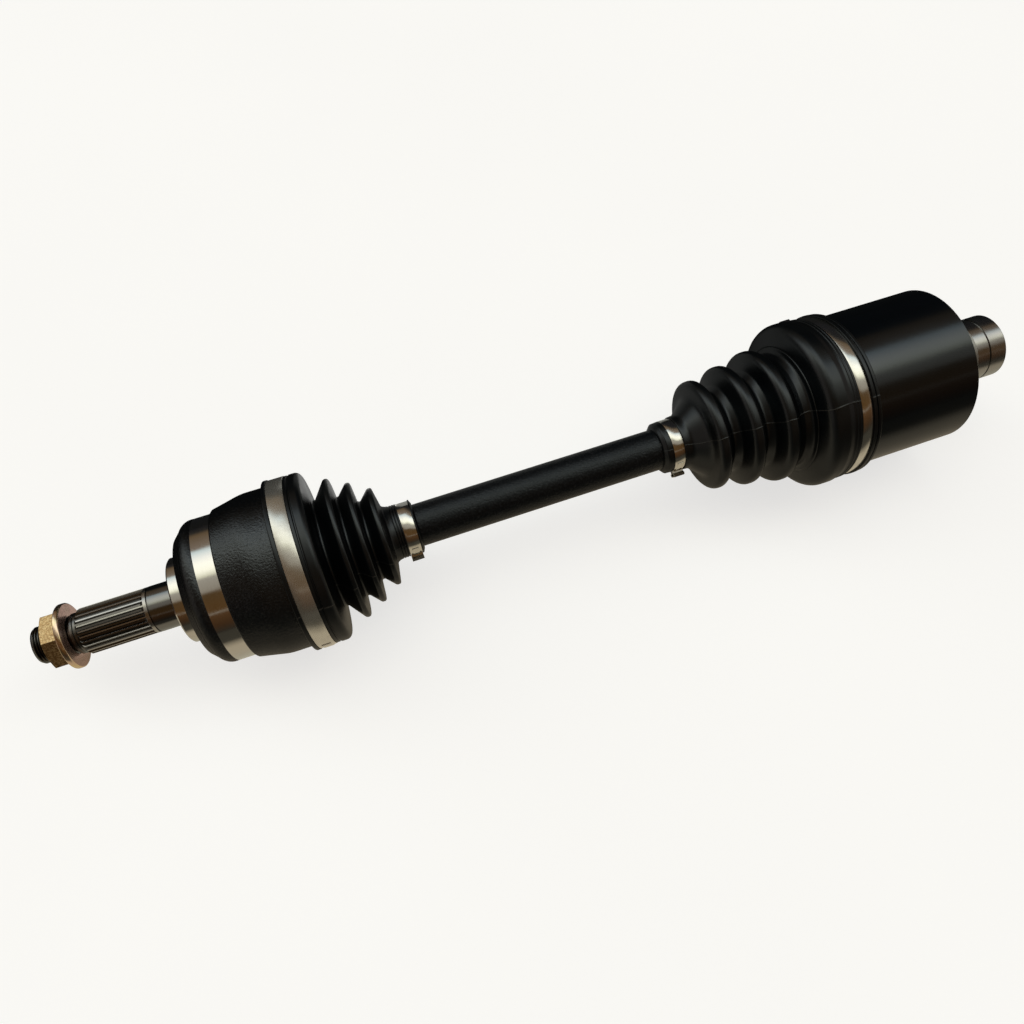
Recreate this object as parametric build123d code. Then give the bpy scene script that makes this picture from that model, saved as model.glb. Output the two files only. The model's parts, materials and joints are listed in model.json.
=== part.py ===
from build123d import *
import os
from math import cos, pi, radians, sin, sqrt

# A plunging drive axle: a fixed ball joint at the wheel end, a solid bar, and a sliding tripod joint
# at the gearbox end, each under a rubber boot.
# All sizes are in mm. X runs along the axle from the wheel end to the gearbox end and Z is up. The
# origin is on the axis, in the plane of the shoulder that the wheel hub seats against.

# Driving sizes
PLAY = 0.05  # running gap between pieces that turn or slide on each other
SHAFT_R = 13.2
BALL_JOINT_X = 50.0
TRIPOD_X = 449.0
AXLE_END_X = 545.0

# Stub axle that goes through the wheel hub
STUB_END_X = -82.4
THREAD_R = 11.0
THREAD_PITCH = 1.5
THREAD_DEPTH = 0.92
THREAD_ROOT_X = -61.0
NECK_R = 12.1
HUB_SPLINE_START_X = -57.0
JOURNAL_START_X = -15.8
HUB_SPLINE_TIP_R = 13.7
HUB_SPLINE_ROOT_R = 12.55
HUB_SPLINE_TEETH = 26
TOOTH_TIP_SHARE = 0.26  # of the pitch, for every spline here
TOOTH_ROOT_SHARE = 0.64
SPLINE_LAND_X = -18.4  # the teeth run out here into a plain land
SPLINE_RUNOUT = 1.6
RELIEF_START_X = -16.7
RELIEF_R = 13.0
JOURNAL_R = 13.8
SEAT_R = 25.8
SEAT_LENGTH = 8.8

# Hub nut and washer
NUT_ACROSS_FLATS = 30.0
NUT_CORNER_ANGLE = 53.3
NUT_LEFT_X = -75.2
NUT_LENGTH = 9.3
NUT_CHAMFER = 1.1
WASHER_R = 19.4
WASHER_THICKNESS = 3.3

# Ball joint
BALL_R = 9.0
BALL_COUNT = 6
BALL_PITCH_R = 34.0
FIRST_BALL_ANGLE = 0.0  # from +Y towards +Z, as for every angle about the axle
TRACK_SIDE_PLAY = 1.12  # a ball needs this much to each side as the joint bends to its limit
RACE_R = 31.55
RACE_HALF_LENGTH = 13.0
CAGE_THICKNESS = 4.8
CAGE_HALF_LENGTH = 15.0
CAGE_WINDOW_LENGTH = 21.0
BELL_R = 49.5
BELL_MOUTH_X = 78.0
BELL_MOUTH_R = 44.2
BELL_FLOOR_X = 19.0
BELL_SLOPE_START_R = 45.7
BELL_SLOPE_END_X = 47.5
BELL_SLOPE_END_R = 48.9
DOME_START_R = 37.2
DOME_GROOVE_X = 12.7  # a fine groove parts the nose's sloping face from its rounded shoulder
DOME_GROOVE_R = 40.3
SHOULDER_MIDDLE_X = 15.6
SHOULDER_MIDDLE_R = 42.9
BELL_MIDDLE_R = 49.36
BAND_START_X = 21.1
BAND_END_X = 32.1
BAND_R = 43.65

# Tripod joint
CAN_R = 50.1
CAN_MOUTH_X = 405.0
CAN_MOUTH_R = 35.5
CAN_FLOOR_X = 490.0
CAN_END_X = 497.7
CAN_CORE_R = 27.0
CAN_CONE_LENGTH = 23.5
TRUNNION_COUNT = 3
FIRST_TRUNNION_ANGLE = 0.0
TRUNNION_R = 9.0
TRUNNION_END = 37.0
ROLLER_PITCH_R = 26.0
ROLLER_R = 18.0
ROLLER_HALF_WIDTH = 8.0
TRIPOD_TRACK_R = 18.85
NEEDLE_R = 1.24
NEEDLE_COUNT = 25
NEEDLE_CIRCLE_R = 10.25
SPIDER_R = 17.6
SPIDER_HALF_LENGTH = 13.0
COLLAR_R = 20.8
COLLAR_GROOVE_X = 532.3
COLLAR_SPLINE_TIP_R = 14.0
COLLAR_SPLINE_ROOT_R = 13.0
COLLAR_SPLINE_DEPTH = 38.0
COLLAR_PILOT_R = 14.6
COLLAR_PILOT_LENGTH = 6.0
PLUG_R = 17.0
PLUG_THICKNESS = 3.0

# Splines inside the axle: the bar's two ends, in the inner race and in the spider
BAR_SPLINE_TIP_R = 13.1
BAR_SPLINE_ROOT_R = 12.1
BAR_SPLINE_TEETH = 28
BAR_SHOULDER_R = 14.6
CLIP_WIRE_R = 0.9
CLIP_GROOVE_R = 11.3

# Boots
BOOT_WALL = 2.4
PLEAT_COUNT = 3
PLEAT_WALL = 0.4  # how much deeper a valley is outside than inside, beyond the wall
OUTER_BOOT_START_X = 64.3
OUTER_BOOT_END_X = 143.4
OUTER_COLLAR_END_X = 84.4
OUTER_FOLD_X = 92.6  # the valley between the wide collar and the first pleat
OUTER_FOLD_R = 30.6
OUTER_PLEAT_X = 99.4  # the first crest
OUTER_PLEAT_PITCH = 11.4
OUTER_PLEAT_R = 43.6
OUTER_PLEAT_STEP = -6.5  # what each crest adds to the radius of the one before
OUTER_PLEAT_DEPTH = 14.0
INNER_BOOT_START_X = 301.4
INNER_BOOT_END_X = 426.8
INNER_NECK_X = 321.0  # the pleats start here, beyond the narrow collar
INNER_NECK_R = 18.2
INNER_BULB_X = 402.5  # the fullest place, beside the wide collar
INNER_BULB_R = 54.3
INNER_PLEAT_X = 333.0
INNER_PLEAT_PITCH = 20.9
INNER_PLEAT_R = 35.6
INNER_PLEAT_STEP = 3.8
INNER_PLEAT_DEPTH = 7.9

# Clamps, each in a shallow groove of its boot
CLAMP_THICKNESS = 0.9
SMALL_CLAMP_THICKNESS = 0.8
GROOVE_PLAY = 0.15
OUTER_LARGE_CLAMP = (67.1, 76.8)
OUTER_SMALL_CLAMP = (134.0, 141.4)
INNER_SMALL_CLAMP = (307.6, 314.8)
INNER_LARGE_CLAMP = (414.2, 421.3)
OUTER_LARGE_CLAMP_R = 51.5
OUTER_SMALL_CLAMP_R = 15.55
INNER_SMALL_CLAMP_R = 16.0
INNER_LARGE_CLAMP_R = 52.0


def turned(*outline):
    """A solid turned about the axle from a closed outline of (x, radius) corners."""
    return revolve(make_face(Polyline(*outline, close=True)), Axis.X, 360)


def tube(start_x, end_x, inner_r, outer_r):
    return turned((start_x, inner_r), (start_x, outer_r), (end_x, outer_r), (end_x, inner_r))


def rod(start_x, end_x, radius):
    return turned((start_x, 0), (start_x, radius), (end_x, radius), (end_x, 0))


def spline_bar(start_x, end_x, tip_r, root_r, teeth, play=0.0):
    """A straight toothed bar along X. play grows it on every side, to cut a socket for a plain one."""
    pitch = 2 * pi * root_r / teeth
    tip_half = TOOTH_TIP_SHARE / 2 * pitch + play
    root_half = TOOTH_ROOT_SHARE / 2 * pitch + play
    corners = []
    for tooth in range(teeth):
        middle = 2 * pi * tooth / teeth
        outline = [(root_r, -root_half), (tip_r, -tip_half), (tip_r, tip_half), (root_r, root_half)]
        for radius, side in outline:
            angle = middle + side / radius
            corners.append(((radius + play) * cos(angle), (radius + play) * sin(angle)))
    face = Plane.YZ.offset(start_x) * make_face(Polyline(*corners, close=True))
    return extrude(face, end_x - start_x)


def wire_ring(x, circle_r, wire_r, gap_angle):
    """A round-wire snap ring, open at the top."""
    section = Plane.XY * Pos(x, circle_r) * Circle(wire_r)
    ring = revolve(section, Axis.X, 360 - gap_angle)
    return Rot(90 + gap_angle / 2, 0, 0) * ring


# Wheel end


def thread_outline():
    """Corners of the thread's crests and roots, from the stub's end to its undercut."""
    corners = []
    turns = int((THREAD_ROOT_X - STUB_END_X) / THREAD_PITCH) - 1
    for turn in range(turns):
        x = STUB_END_X + (turn + 1) * THREAD_PITCH
        corners.append((x - 0.1, THREAD_R))
        corners.append((x + 0.1, THREAD_R))
        corners.append((x + THREAD_PITCH / 2, THREAD_R - THREAD_DEPTH))
    return corners


def stub():
    """The stub axle: thread, neck, splines, relief groove and journal."""
    thread_root_r = THREAD_R - THREAD_DEPTH
    neck_middle_x = (THREAD_ROOT_X + HUB_SPLINE_START_X) / 2
    end = [(STUB_END_X, 0), (STUB_END_X, thread_root_r)]
    neck = [
        (THREAD_ROOT_X, thread_root_r),
        (THREAD_ROOT_X + 0.6, NECK_R),
        (neck_middle_x, NECK_R),
        (neck_middle_x + 0.4, NECK_R - 0.5),
        (neck_middle_x + 0.8, NECK_R),
        (HUB_SPLINE_START_X, NECK_R),
    ]
    toothed = [
        (HUB_SPLINE_START_X, HUB_SPLINE_ROOT_R),
        (SPLINE_LAND_X - SPLINE_RUNOUT, HUB_SPLINE_ROOT_R),
        (SPLINE_LAND_X, HUB_SPLINE_TIP_R),
        (RELIEF_START_X, HUB_SPLINE_TIP_R),
    ]
    relief = [(RELIEF_START_X, RELIEF_R), (JOURNAL_START_X, RELIEF_R)]
    journal = [(JOURNAL_START_X, JOURNAL_R), (SEAT_LENGTH, JOURNAL_R), (SEAT_LENGTH, 0)]
    core = turned(*end, *thread_outline(), *neck, *toothed, *relief, *journal)
    chamfered = turned(
        (HUB_SPLINE_START_X, 0),
        (HUB_SPLINE_START_X, HUB_SPLINE_ROOT_R - 0.3),
        (HUB_SPLINE_START_X + 1.6, HUB_SPLINE_TIP_R + 0.2),
        (SPLINE_LAND_X + 0.4, HUB_SPLINE_TIP_R + 0.2),
        (SPLINE_LAND_X + 0.4, 0),
    )
    teeth = spline_bar(
        HUB_SPLINE_START_X,
        SPLINE_LAND_X + 1,
        HUB_SPLINE_TIP_R,
        HUB_SPLINE_ROOT_R,
        HUB_SPLINE_TEETH,
    )
    return core + (teeth & chamfered)


def bell_blank():
    """The outside of the ball joint's bell, still solid, with its seat and its turned band."""
    edge = 0.8
    dome_start = (SEAT_LENGTH + edge, DOME_START_R)
    dome_end = (DOME_GROOVE_X, DOME_GROOVE_R)
    shoulder_middle = (SHOULDER_MIDDLE_X, SHOULDER_MIDDLE_R)
    shoulder_end = (BAND_START_X, BAND_R - edge / 4)
    slope_start = (BAND_END_X + edge, BELL_SLOPE_START_R)
    slope_end = (BELL_SLOPE_END_X, BELL_SLOPE_END_R)
    bell_middle = (BALL_JOINT_X + 0.6, BELL_MIDDLE_R)
    bell_start = (BALL_JOINT_X + 4, BELL_R)
    clamp_start, clamp_end = OUTER_LARGE_CLAMP
    edges = [
        Polyline(
            (0, 0),
            (0, SEAT_R - edge),
            (edge, SEAT_R),
            (SEAT_LENGTH, SEAT_R),
            (SEAT_LENGTH, DOME_START_R - edge),
            dome_start,
            dome_end,
        ),
        ThreePointArc(dome_end, shoulder_middle, shoulder_end),
        Polyline(
            shoulder_end,
            (BAND_START_X, BAND_R),
            (BAND_END_X, BAND_R),
            (BAND_END_X, BELL_SLOPE_START_R - edge),
            slope_start,
            slope_end,
        ),
        ThreePointArc(slope_end, bell_middle, bell_start),
        Polyline(
            bell_start,
            (clamp_start, BELL_R),
            (clamp_start + edge, BELL_R - edge),
            (clamp_end - 2 * edge, BELL_R - edge),
            (clamp_end - edge, BELL_R),
            (BELL_MOUTH_X - edge, BELL_R),
            (BELL_MOUTH_X, BELL_R - edge),
            (BELL_MOUTH_X, 0),
            (0, 0),
        ),
    ]
    blank = revolve(make_face(Curve() + edges), Axis.X, 360)
    dome_groove = turned(
        (DOME_GROOVE_X - edge, DOME_GROOVE_R + edge),
        (DOME_GROOVE_X, DOME_GROOVE_R - edge / 2),
        (DOME_GROOVE_X + edge / 2, DOME_GROOVE_R + 2 * edge),
    )
    seat_undercut = tube(-0.1, 0.5, JOURNAL_R, JOURNAL_R + 1.0)
    return blank - dome_groove - seat_undercut


def ball_track(turn):
    """The groove one ball rolls in, about the joint's centre and through turn degrees to each side.

    Its section is a circle stretched sideways, because a ball moves a little sideways as the joint bends.
    """
    slot = SlotCenterToCenter(2 * TRACK_SIDE_PLAY, 2 * (BALL_R + PLAY))
    section = Plane.YZ * Pos(0, BALL_PITCH_R) * slot
    swept = revolve(section, Axis.Y, 2 * turn)
    return Pos(BALL_JOINT_X, 0, 0) * Rot(0, -turn, 0) * swept


def around(count, first_angle, solid):
    """Copies of a solid that stands on +Z, spaced evenly about the axle from first_angle on."""
    return [Rot(first_angle - 90 + 360 * n / count, 0, 0) * solid for n in range(count)]


def outer_housing():
    """Stub axle and bell, one forging."""
    cage_land_r = RACE_R + 2 * PLAY + CAGE_THICKNESS
    land_end = 12.0
    centre = Pos(BALL_JOINT_X, 0, 0)
    cavity = centre * Sphere(cage_land_r)
    cavity &= rod(BELL_FLOOR_X, BELL_MOUTH_X, BELL_R)
    cone_start_r = sqrt(cage_land_r**2 - land_end**2)
    mouth = turned(
        (BALL_JOINT_X, 0),
        (BALL_JOINT_X, cone_start_r - 1),
        (BALL_JOINT_X + land_end, cone_start_r),
        (BELL_MOUTH_X + 0.1, BELL_MOUTH_R),
        (BELL_MOUTH_X + 0.1, 0),
    )
    # a track runs from behind the furthest ball to out of the mouth
    back_turn = 37.5
    front_turn = 75.0
    half_turn = (back_turn + front_turn) / 2
    shift = Pos(BALL_JOINT_X, 0, 0) * Rot(0, front_turn - half_turn, 0) * Pos(-BALL_JOINT_X, 0, 0)
    track = shift * ball_track(half_turn)
    body = bell_blank() + stub()
    body -= cavity + mouth
    # turned so that no seam of a turned face lies in a track
    body = Rot(180 / BALL_COUNT / 2, 0, 0) * body
    for one in around(BALL_COUNT, FIRST_BALL_ANGLE, track):
        body -= one
    return body


def inner_race():
    centre = Pos(BALL_JOINT_X, 0, 0)
    race = centre * Sphere(RACE_R)
    race &= rod(BALL_JOINT_X - RACE_HALF_LENGTH, BALL_JOINT_X + RACE_HALF_LENGTH, RACE_R)
    race -= spline_bar(
        BALL_JOINT_X - RACE_HALF_LENGTH - 1,
        BALL_JOINT_X + RACE_HALF_LENGTH + 1,
        BAR_SPLINE_TIP_R,
        BAR_SPLINE_ROOT_R,
        BAR_SPLINE_TEETH,
        PLAY,
    )
    for one in around(BALL_COUNT, FIRST_BALL_ANGLE, ball_track(60)):
        race -= one
    return race


def ball_cage():
    """A spherical ring with one window per ball."""
    inner_r = RACE_R + PLAY
    centre = Pos(BALL_JOINT_X, 0, 0)
    cage = centre * Sphere(inner_r + CAGE_THICKNESS)
    cage &= rod(BALL_JOINT_X - CAGE_HALF_LENGTH, BALL_JOINT_X + CAGE_HALF_LENGTH, BELL_R)
    cage -= centre * Sphere(inner_r)
    opening = RectangleRounded(2 * BALL_R + 0.06, CAGE_WINDOW_LENGTH, 3.5)
    window = centre * Pos(0, 0, BALL_PITCH_R - 10) * extrude(opening, 20)
    for one in around(BALL_COUNT, FIRST_BALL_ANGLE, window):
        cage -= one
    return cage


def outer_balls():
    ball = Pos(BALL_JOINT_X, 0, BALL_PITCH_R) * Sphere(BALL_R)
    return Compound(around(BALL_COUNT, FIRST_BALL_ANGLE, ball))


def hub_washer():
    left = NUT_LEFT_X + NUT_LENGTH + PLAY
    right = left + WASHER_THICKNESS
    bore_r = THREAD_R + 0.3
    edge = 0.5
    return turned(
        (left, bore_r),
        (left, WASHER_R - edge),
        (left + edge, WASHER_R),
        (right - edge, WASHER_R),
        (right, WASHER_R - edge),
        (right, bore_r),
    )


def hub_nut():
    """A hexagon turned down to cones at both ends."""
    corner_r = NUT_ACROSS_FLATS / 2 / cos(pi / 6)
    right = NUT_LEFT_X + NUT_LENGTH
    hexagon = Plane.YZ.offset(NUT_LEFT_X) * RegularPolygon(corner_r, 6, rotation=NUT_CORNER_ANGLE)
    flat_r = NUT_ACROSS_FLATS / 2
    blank = turned(
        (NUT_LEFT_X, 0),
        (NUT_LEFT_X, flat_r - 0.4),
        (NUT_LEFT_X + NUT_CHAMFER, corner_r + 0.1),
        (right - NUT_CHAMFER / 2, corner_r + 0.1),
        (right, flat_r + 0.3),
        (right, 0),
    )
    bore_r = THREAD_R + PLAY
    hole = turned(
        (NUT_LEFT_X - 1, 0),
        (NUT_LEFT_X - 1, bore_r + 1.8),
        (NUT_LEFT_X + 0.8, bore_r),
        (right - 0.8, bore_r),
        (right + 1, bore_r + 1.8),
        (right + 1, 0),
    )
    return (extrude(hexagon, NUT_LENGTH) & blank) - hole


# Bar between the joints


def axle_bar():
    """The solid bar: a splined end, a shoulder and a clip groove for each joint."""
    body = rod(BALL_JOINT_X + RACE_HALF_LENGTH, TRIPOD_X - SPIDER_HALF_LENGTH, SHAFT_R)
    ends = (
        (BALL_JOINT_X, RACE_HALF_LENGTH, -1),
        (TRIPOD_X, SPIDER_HALF_LENGTH, 1),
    )
    for joint_x, half_length, outward in ends:
        inside_x = joint_x - outward * (half_length + PLAY)
        tip_x = joint_x + outward * (half_length + 4.0)
        shoulder = turned(
            (inside_x, 0),
            (inside_x, BAR_SHOULDER_R),
            (inside_x - outward * 4.0, BAR_SHOULDER_R),
            (inside_x - outward * 7.0, SHAFT_R),
            (inside_x - outward * 7.0, 0),
        )
        toothed = spline_bar(
            min(inside_x, tip_x),
            max(inside_x, tip_x),
            BAR_SPLINE_TIP_R,
            BAR_SPLINE_ROOT_R,
            BAR_SPLINE_TEETH,
        )
        chamfered = turned(
            (inside_x, 0),
            (inside_x, SHAFT_R),
            (tip_x - outward * 1.2, SHAFT_R),
            (tip_x, SHAFT_R - 1.4),
            (tip_x, 0),
        )
        groove_x = clip_x(joint_x, half_length, outward)
        groove_half = CLIP_WIRE_R + PLAY
        groove = tube(groove_x - groove_half, groove_x + groove_half, CLIP_GROOVE_R, SHAFT_R + 1)
        body += shoulder
        body += (toothed & chamfered) - groove
    return body


def clip_x(joint_x, half_length, outward):
    return joint_x + outward * (half_length + CLIP_WIRE_R + PLAY)


def shaft_clips():
    """The two round-wire clips that keep the inner race and the spider on the bar."""
    circle_r = CLIP_GROOVE_R + CLIP_WIRE_R + PLAY
    spots = (
        clip_x(BALL_JOINT_X, RACE_HALF_LENGTH, -1),
        clip_x(TRIPOD_X, SPIDER_HALF_LENGTH, 1),
    )
    return Compound([wire_ring(x, circle_r, CLIP_WIRE_R, 30) for x in spots])


# Gearbox end


def inner_housing():
    """The can with its three roller tracks, and the splined collar behind it."""
    edge = 0.8
    root_r = 5.0
    groove_half = 0.6
    clamp_start, clamp_end = INNER_LARGE_CLAMP
    outline = [
        Polyline(
            (CAN_MOUTH_X, 0),
            (CAN_MOUTH_X, CAN_R - edge),
            (CAN_MOUTH_X + edge, CAN_R),
            (clamp_start - edge, CAN_R),
            (clamp_start, CAN_R - edge),
            (clamp_end, CAN_R - edge),
            (clamp_end + edge, CAN_R),
            (CAN_END_X - edge, CAN_R),
            (CAN_END_X, CAN_R - edge),
            (CAN_END_X, COLLAR_R + root_r),
        ),
        RadiusArc((CAN_END_X, COLLAR_R + root_r), (CAN_END_X + root_r, COLLAR_R), -root_r),
        Polyline(
            (CAN_END_X + root_r, COLLAR_R),
            (COLLAR_GROOVE_X - groove_half, COLLAR_R),
            (COLLAR_GROOVE_X - groove_half, COLLAR_R - edge),
            (COLLAR_GROOVE_X + groove_half, COLLAR_R - edge),
            (COLLAR_GROOVE_X + groove_half, COLLAR_R),
            (AXLE_END_X - 1, COLLAR_R),
            (AXLE_END_X, COLLAR_R - 1),
            (AXLE_END_X, 0),
            (CAN_MOUTH_X, 0),
        ),
    ]
    body = revolve(make_face(Curve() + outline), Axis.X, 360)
    core = turned(
        (CAN_MOUTH_X - 1, 0),
        (CAN_MOUTH_X - 1, CAN_MOUTH_R),
        (CAN_MOUTH_X, CAN_MOUTH_R),
        (CAN_MOUTH_X + CAN_CONE_LENGTH, CAN_CORE_R),
        (CAN_FLOOR_X, CAN_CORE_R),
        (CAN_FLOOR_X, 0),
    )
    track = Plane.YZ.offset(CAN_MOUTH_X - 1) * Pos(0, ROLLER_PITCH_R) * Circle(TRIPOD_TRACK_R)
    lobe = extrude(track, CAN_FLOOR_X - CAN_MOUTH_X + 1)
    body -= core
    for one in around(TRUNNION_COUNT, FIRST_TRUNNION_ANGLE, lobe):
        body -= one
    spline_start = AXLE_END_X - COLLAR_SPLINE_DEPTH
    body -= rod(CAN_FLOOR_X - 1, CAN_FLOOR_X + PLUG_THICKNESS, PLUG_R)
    body -= rod(CAN_FLOOR_X, AXLE_END_X - 1, COLLAR_SPLINE_ROOT_R)
    body -= rod(CAN_FLOOR_X + PLUG_THICKNESS, spline_start, COLLAR_SPLINE_TIP_R + 0.6)
    body -= rod(AXLE_END_X - COLLAR_PILOT_LENGTH, AXLE_END_X + 1, COLLAR_PILOT_R)
    body -= spline_bar(
        spline_start - 1, AXLE_END_X - 1, COLLAR_SPLINE_TIP_R, COLLAR_SPLINE_ROOT_R, HUB_SPLINE_TEETH
    )
    return body


def grease_plug():
    """The cap pressed into the can's floor, which keeps the grease out of the collar."""
    left = CAN_FLOOR_X - 0.5
    right = CAN_FLOOR_X + PLUG_THICKNESS - PLAY
    outer_r = PLUG_R - 0.02
    return turned((left, 0), (left, outer_r - 2), (left + 0.8, outer_r), (right, outer_r), (right, 0))


def spider():
    hub = rod(TRIPOD_X - SPIDER_HALF_LENGTH, TRIPOD_X + SPIDER_HALF_LENGTH, SPIDER_R)
    trunnion = Pos(TRIPOD_X, 0, 0) * extrude(Plane.XY * Circle(TRUNNION_R), TRUNNION_END)
    trunnion -= Pos(TRIPOD_X, 0, clip_height()) * (
        extrude(Circle(TRUNNION_R + 1), 1.1) - extrude(Circle(TRUNNION_R - 0.8), 1.1)
    )
    trunnion = chamfer(trunnion.edges().group_by(Axis.Z)[-1], 0.6)
    body = hub
    for one in around(TRUNNION_COUNT, FIRST_TRUNNION_ANGLE, trunnion):
        body += one
    body -= spline_bar(
        TRIPOD_X - SPIDER_HALF_LENGTH - 1,
        TRIPOD_X + SPIDER_HALF_LENGTH + 1,
        BAR_SPLINE_TIP_R,
        BAR_SPLINE_ROOT_R,
        BAR_SPLINE_TEETH,
        PLAY,
    )
    return body


def clip_height():
    """How far from the axle the groove near a trunnion's end starts."""
    return ROLLER_PITCH_R + ROLLER_HALF_WIDTH + 1.1


def roller():
    """A barrel roller on the trunnion that stands on +Z."""
    ball = Sphere(ROLLER_R)
    band = Cylinder(ROLLER_R + 1, 2 * ROLLER_HALF_WIDTH)
    hole = Cylinder(NEEDLE_CIRCLE_R + NEEDLE_R + 0.03, 2 * ROLLER_R)
    return Pos(TRIPOD_X, 0, ROLLER_PITCH_R) * ((ball & band) - hole)


def needles():
    """The needles between one roller and its trunnion."""
    length = 2 * ROLLER_HALF_WIDTH - 0.6
    needle = Cylinder(NEEDLE_R, length)
    centre = Pos(TRIPOD_X, 0, ROLLER_PITCH_R)
    spot = Pos(NEEDLE_CIRCLE_R, 0, 0)
    return [centre * Rot(0, 0, 360 * n / NEEDLE_COUNT) * spot * needle for n in range(NEEDLE_COUNT)]


def roller_washers():
    """Flat rings that hold each roller and its needles on the trunnion."""
    face = Circle(14.5) - Circle(TRUNNION_R + PLAY)
    bottom = ROLLER_PITCH_R + ROLLER_HALF_WIDTH + PLAY
    ring = Pos(TRIPOD_X, 0, bottom) * extrude(face, 1.0)
    return Compound(around(TRUNNION_COUNT, FIRST_TRUNNION_ANGLE, ring))


def roller_clips():
    """Open snap rings in the trunnions' grooves."""
    face = Circle(TRUNNION_R + 1.6) - Circle(TRUNNION_R - 0.75)
    face -= Pos(TRUNNION_R, 0) * Rectangle(6, 5)
    ring = Pos(TRIPOD_X, 0, clip_height() + PLAY) * extrude(face, 1.0)
    return Compound(around(TRUNNION_COUNT, FIRST_TRUNNION_ANGLE, ring))


# Boots and clamps


def pleats(first_x, pitch, first_r, step, depth, width):
    """Corners of a row of pleats. Each crest is width wide and is followed by a valley, depth below it."""
    corners = []
    for pleat in range(PLEAT_COUNT):
        x = first_x + pleat * pitch
        radius = first_r + pleat * step
        corners.append((x - width / 2, radius))
        corners.append((x + width / 2, radius))
        corners.append((x + pitch / 2, radius - depth))
    return corners


def clamp_groove(clamp, collar_r, clamp_r):
    """Corners of the groove that one clamp sits in, in a collar of a boot."""
    start_x = clamp[0] - GROOVE_PLAY
    end_x = clamp[1] + GROOVE_PLAY
    groove_r = clamp_r - PLAY
    return [(start_x, collar_r), (start_x, groove_r), (end_x, groove_r), (end_x, collar_r)]


def outer_boot():
    """Boot of the ball joint, with thin steep pleats."""
    bell_collar_r = BELL_R + BOOT_WALL + 0.3
    bar_collar_r = SHAFT_R + BOOT_WALL + 1.0
    inner_crest_r = OUTER_PLEAT_R - BOOT_WALL
    inner_depth = OUTER_PLEAT_DEPTH - PLEAT_WALL
    inner_fold_r = OUTER_FOLD_R - 2
    last_valley_x = OUTER_PLEAT_X + (PLEAT_COUNT - 0.5) * OUTER_PLEAT_PITCH
    outside = [
        (OUTER_BOOT_START_X, bell_collar_r),
        *clamp_groove(OUTER_LARGE_CLAMP, bell_collar_r, OUTER_LARGE_CLAMP_R),
        (OUTER_COLLAR_END_X, bell_collar_r),
        (OUTER_COLLAR_END_X + 1.2, bell_collar_r - 1.5),
        (OUTER_FOLD_X, OUTER_FOLD_R),
        *pleats(OUTER_PLEAT_X, OUTER_PLEAT_PITCH, OUTER_PLEAT_R, OUTER_PLEAT_STEP, OUTER_PLEAT_DEPTH, 1.6),
        *clamp_groove(OUTER_SMALL_CLAMP, bar_collar_r, OUTER_SMALL_CLAMP_R),
        (OUTER_BOOT_END_X, bar_collar_r),
    ]
    inner_pleats = pleats(OUTER_PLEAT_X, OUTER_PLEAT_PITCH, inner_crest_r, OUTER_PLEAT_STEP, inner_depth, 0.6)
    inside = [
        (OUTER_BOOT_START_X, BELL_R + PLAY),
        (BELL_MOUTH_X + 0.5, BELL_R + PLAY),
        (OUTER_COLLAR_END_X - 1.6, BELL_R - 0.4),
        (OUTER_FOLD_X - 1, inner_fold_r),
        (OUTER_FOLD_X + 1, inner_fold_r),
        *inner_pleats[:-1],
        (last_valley_x + 1.1, SHAFT_R + PLAY),
        (OUTER_BOOT_END_X, SHAFT_R + PLAY),
    ]
    return turned(*outside, *reversed(inside))


def inner_boot():
    """Boot of the tripod joint, with rounded pleats that grow towards the can."""
    can_collar_r = CAN_R + BOOT_WALL + 0.8
    bar_collar_r = SHAFT_R + BOOT_WALL + 1.0
    inner_crest_r = INNER_PLEAT_R - BOOT_WALL
    inner_depth = INNER_PLEAT_DEPTH - PLEAT_WALL
    outside = [
        (INNER_BOOT_START_X, bar_collar_r),
        *clamp_groove(INNER_SMALL_CLAMP, bar_collar_r, INNER_SMALL_CLAMP_R),
        (INNER_NECK_X, INNER_NECK_R),
        *pleats(INNER_PLEAT_X, INNER_PLEAT_PITCH, INNER_PLEAT_R, INNER_PLEAT_STEP, INNER_PLEAT_DEPTH, 5.0),
        (INNER_BULB_X - 2, INNER_BULB_R),
        (INNER_BULB_X + 2, INNER_BULB_R),
        (CAN_MOUTH_X + 3, can_collar_r),
        *clamp_groove(INNER_LARGE_CLAMP, can_collar_r, INNER_LARGE_CLAMP_R),
        (INNER_BOOT_END_X, can_collar_r),
    ]
    inside = [
        (INNER_BOOT_START_X, SHAFT_R + PLAY),
        (INNER_NECK_X - 3, SHAFT_R + PLAY),
        (INNER_NECK_X + 1.5, INNER_NECK_R - BOOT_WALL),
        *pleats(INNER_PLEAT_X, INNER_PLEAT_PITCH, inner_crest_r, INNER_PLEAT_STEP, inner_depth, 3.6),
        (CAN_MOUTH_X - 4, CAN_R + PLAY),
        (INNER_BOOT_END_X, CAN_R + PLAY),
    ]
    return turned(*outside, *reversed(inside))


def ear_face(inner_r, outer_r, thickness, height):
    """Section of a clamp's pinched ear, a bent strip that stands on the band with its foot sunk into it."""
    foot = inner_r + 0.1
    top = outer_r + height
    waist_half = 1.6
    crown_half = 3.4
    right = [
        (waist_half, foot),
        (waist_half, outer_r + 1.2),
        (crown_half, top - 1.6),
        (crown_half - 0.9, top),
    ]
    left = [(-x, y) for x, y in reversed(right)]
    outline = make_face(Polyline(*right, *left, close=True))
    return outline - offset(outline, -0.75 * thickness)


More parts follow.
